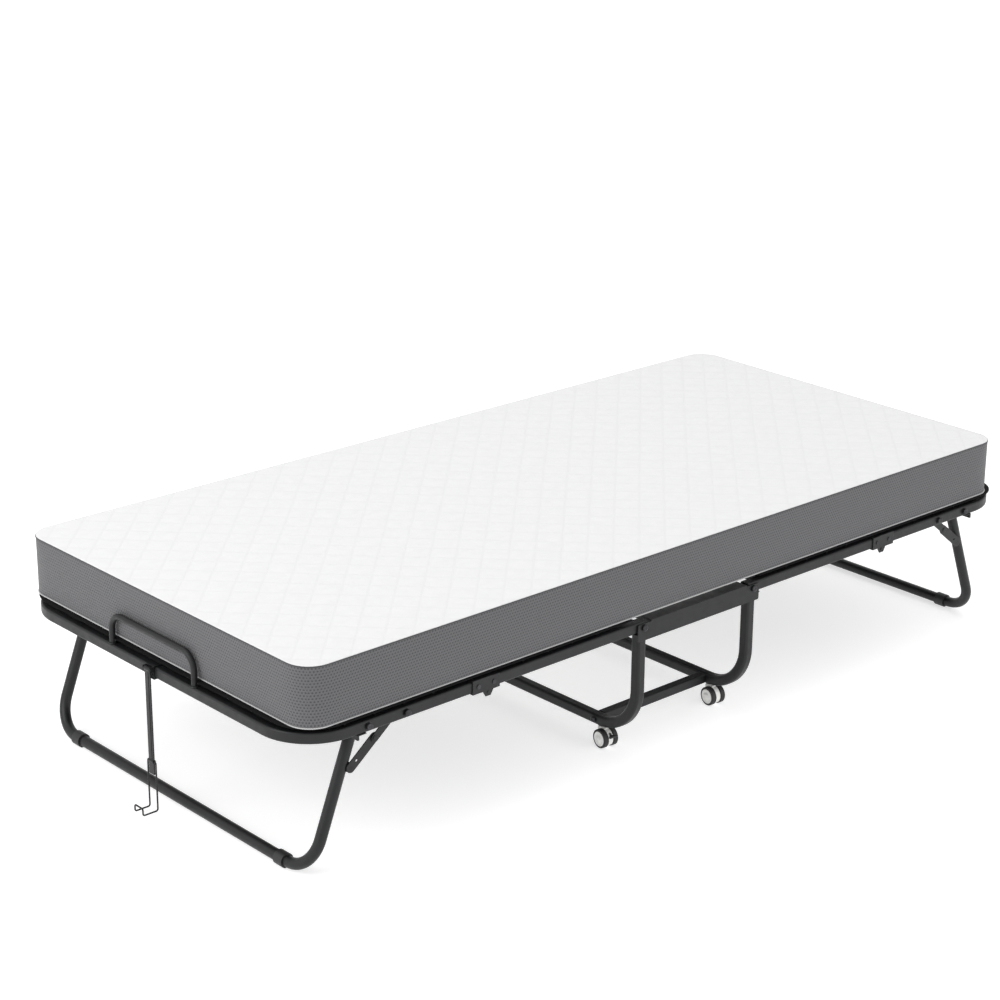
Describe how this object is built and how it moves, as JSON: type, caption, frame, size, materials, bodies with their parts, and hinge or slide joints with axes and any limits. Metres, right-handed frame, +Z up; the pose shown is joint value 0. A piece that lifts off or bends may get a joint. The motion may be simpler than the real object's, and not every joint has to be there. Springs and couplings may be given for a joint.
{
  "type": "folding cot",
  "caption": "Rollaway folding bed: tube frame whose halves and legs fold on a wheeled base, with a jointed foam mattress, end handles and a hook latch.",
  "frame": {"origin": "floor point under the centre of the whole cot's box, with the cot open and its legs down", "axes": "+X along the cot from the head end, which carries the latch, to the foot end; -Y is the near side; +Z up"},
  "size_m": [1.9921, 0.911, 0.425],
  "materials": {
    "frame_paint": "matte powder coat",
    "link_steel": "satin black",
    "wire": "satin black coated wire",
    "bolt_steel": "blackened steel",
    "clip_plastic": "matte black",
    "mattress_cover": "white knit top, grey knit sides",
    "base_cloth": "black non-woven support cloth",
    "latch_metal": "satin black",
    "caster_white": "white moulded plastic",
    "tyre_black": "black rubber",
    "brake_black": "black moulded plastic"
  },
  "bodies": {
    "base": {"hoop_head": "frame_paint", "hoop_foot": "frame_paint", "side_plates": "frame_paint", "tie_bars": "frame_paint", "centre_cross_bars": "frame_paint", "centre_slats": "frame_paint", "base_bolts": "bolt_steel", "caster_sockets": "clip_plastic", "mattress_middle": "mattress_cover"},
    "head_half": {"head_end_frame": "frame_paint", "head_inner_rails": "frame_paint", "head_cross_bars": "frame_paint", "head_slats": "frame_paint", "head_wire_mesh": "wire", "head_support_cloth": "base_cloth", "head_joint_brackets": "frame_paint", "head_leg_brackets": "frame_paint", "head_bolts": "bolt_steel", "head_handle": "frame_paint", "head_mattress": "mattress_cover", "head_mattress_crease": "mattress_cover", "latch_bracket": "latch_metal"},
    "head_leg": {"head_leg": "frame_paint", "head_leg_feet": "clip_plastic", "head_leg_lugs": "link_steel"},
    "head_upper_stays": {"head_stays_upper": "link_steel"},
    "head_lower_stays": {"head_stays_lower": "link_steel"},
    "foot_half": {"foot_end_frame": "frame_paint", "foot_inner_rails": "frame_paint", "foot_cross_bars": "frame_paint", "foot_slats": "frame_paint", "foot_wire_mesh": "wire", "foot_support_cloth": "base_cloth", "foot_joint_brackets": "frame_paint", "foot_leg_brackets": "frame_paint", "foot_bolts": "bolt_steel", "foot_handle": "frame_paint", "foot_mattress": "mattress_cover", "foot_mattress_crease": "mattress_cover"},
    "foot_leg": {"foot_leg": "frame_paint", "foot_leg_feet": "clip_plastic", "foot_leg_lugs": "link_steel"},
    "foot_upper_stays": {"foot_stays_upper": "link_steel"},
    "foot_lower_stays": {"foot_stays_lower": "link_steel"},
    "strap": {"latch_strap": "latch_metal"},
    "bail": {"latch_bail": "latch_metal"},
    "caster_head_near": {"caster_head_near_housing": "caster_white"},
    "wheels_head_near": {"caster_head_near_tyres": "tyre_black", "caster_head_near_hubs": "caster_white"},
    "brake_head_near": {"caster_head_near_brake": "brake_black"},
    "caster_head_far": {"caster_head_far_housing": "caster_white"},
    "wheels_head_far": {"caster_head_far_tyres": "tyre_black", "caster_head_far_hubs": "caster_white"},
    "brake_head_far": {"caster_head_far_brake": "brake_black"},
    "caster_foot_near": {"caster_foot_near_housing": "caster_white"},
    "wheels_foot_near": {"caster_foot_near_tyres": "tyre_black", "caster_foot_near_hubs": "caster_white"},
    "caster_foot_far": {"caster_foot_far_housing": "caster_white"},
    "wheels_foot_far": {"caster_foot_far_tyres": "tyre_black", "caster_foot_far_hubs": "caster_white"}
  },
  "joints": [
    {"name": "head_fold", "type": "hinge", "parent": "base", "child": "head_half", "pos_m": [-0.132, 0, 0.283], "axis": [0, 1, 0], "range_deg": [0, 90], "deforming": ["head_mattress_crease"]},
    {"name": "head_leg_fold", "type": "hinge", "parent": "head_half", "child": "head_leg", "pos_m": [-0.804, 0, 0.283], "axis": [0, -1, 0], "range_deg": [0, 103]},
    {"name": "head_upper_stay_turn", "type": "hinge", "parent": "head_half", "child": "head_upper_stays", "pos_m": [-0.718, 0, 0.283], "axis": [0, -1, 0], "range_deg": [0, 134.6]},
    {"name": "head_lower_stay_turn", "type": "hinge", "parent": "head_leg", "child": "head_lower_stays", "pos_m": [-0.82335, 0, 0.1992], "axis": [0, -1, 0], "range_deg": [-150.4, 0]},
    {"name": "foot_fold", "type": "hinge", "parent": "base", "child": "foot_half", "pos_m": [0.174, 0, 0.283], "axis": [0, -1, 0], "range_deg": [0, 90], "deforming": ["foot_mattress_crease"]},
    {"name": "foot_leg_fold", "type": "hinge", "parent": "foot_half", "child": "foot_leg", "pos_m": [0.846, 0, 0.283], "axis": [0, 1, 0], "range_deg": [0, 103]},
    {"name": "foot_upper_stay_turn", "type": "hinge", "parent": "foot_half", "child": "foot_upper_stays", "pos_m": [0.76, 0, 0.283], "axis": [0, 1, 0], "range_deg": [0, 134.6]},
    {"name": "foot_lower_stay_turn", "type": "hinge", "parent": "foot_leg", "child": "foot_lower_stays", "pos_m": [0.86535, 0, 0.1992], "axis": [0, 1, 0], "range_deg": [-150.4, 0]},
    {"name": "latch_swing", "type": "hinge", "parent": "head_half", "child": "strap", "pos_m": [-0.9615, -0.004, 0.29], "axis": [0, 1, 0], "range_deg": [0, 165]},
    {"name": "latch_bail_swing", "type": "hinge", "parent": "strap", "child": "bail", "pos_m": [-0.9615, -0.004, 0.105], "axis": [0, 1, 0], "range_deg": [-20, 45]},
    {"name": "caster_head_near_swivel", "type": "hinge", "parent": "base", "child": "caster_head_near", "pos_m": [-0.132, -0.345, 0.053], "axis": [0, 0, 1], "continuous": true},
    {"name": "wheels_head_near_spin", "type": "hinge", "parent": "caster_head_near", "child": "wheels_head_near", "pos_m": [-0.13304, -0.35495, 0.0195], "axis": [0.9945, -0.1045, 0], "continuous": true},
    {"name": "brake_head_near_press", "type": "hinge", "parent": "caster_head_near", "child": "brake_head_near", "pos_m": [-0.13446, -0.36837, 0.029], "axis": [0.9945, -0.1045, 0], "range_deg": [0, 20]},
    {"name": "caster_head_far_swivel", "type": "hinge", "parent": "base", "child": "caster_head_far", "pos_m": [-0.132, 0.345, 0.053], "axis": [0, 0, 1], "continuous": true},
    {"name": "wheels_head_far_spin", "type": "hinge", "parent": "caster_head_far", "child": "wheels_head_far", "pos_m": [-0.13304, 0.33505, 0.0195], "axis": [0.9945, -0.1045, 0], "continuous": true},
    {"name": "brake_head_far_press", "type": "hinge", "parent": "caster_head_far", "child": "brake_head_far", "pos_m": [-0.13446, 0.32163, 0.029], "axis": [0.9945, -0.1045, 0], "range_deg": [0, 20]},
    {"name": "caster_foot_near_swivel", "type": "hinge", "parent": "base", "child": "caster_foot_near", "pos_m": [0.174, -0.345, 0.053], "axis": [0, 0, 1], "continuous": true},
    {"name": "wheels_foot_near_spin", "type": "hinge", "parent": "caster_foot_near", "child": "wheels_foot_near", "pos_m": [0.17295, -0.35495, 0.0195], "axis": [0.9945, -0.1045, 0], "continuous": true},
    {"name": "caster_foot_far_swivel", "type": "hinge", "parent": "base", "child": "caster_foot_far", "pos_m": [0.174, 0.345, 0.053], "axis": [0, 0, 1], "continuous": true},
    {"name": "wheels_foot_far_spin", "type": "hinge", "parent": "caster_foot_far", "child": "wheels_foot_far", "pos_m": [0.17295, 0.33505, 0.0195], "axis": [0.9945, -0.1045, 0], "continuous": true}
  ],
  "couplings": [
    {"joint": "head_upper_stay_turn", "follows": "head_leg_fold", "ratio": 1.2971},
    {"joint": "head_lower_stay_turn", "follows": "head_leg_fold", "ratio": -1.4505},
    {"joint": "foot_upper_stay_turn", "follows": "foot_leg_fold", "ratio": 1.2971},
    {"joint": "foot_lower_stay_turn", "follows": "foot_leg_fold", "ratio": -1.4505}
  ]
}
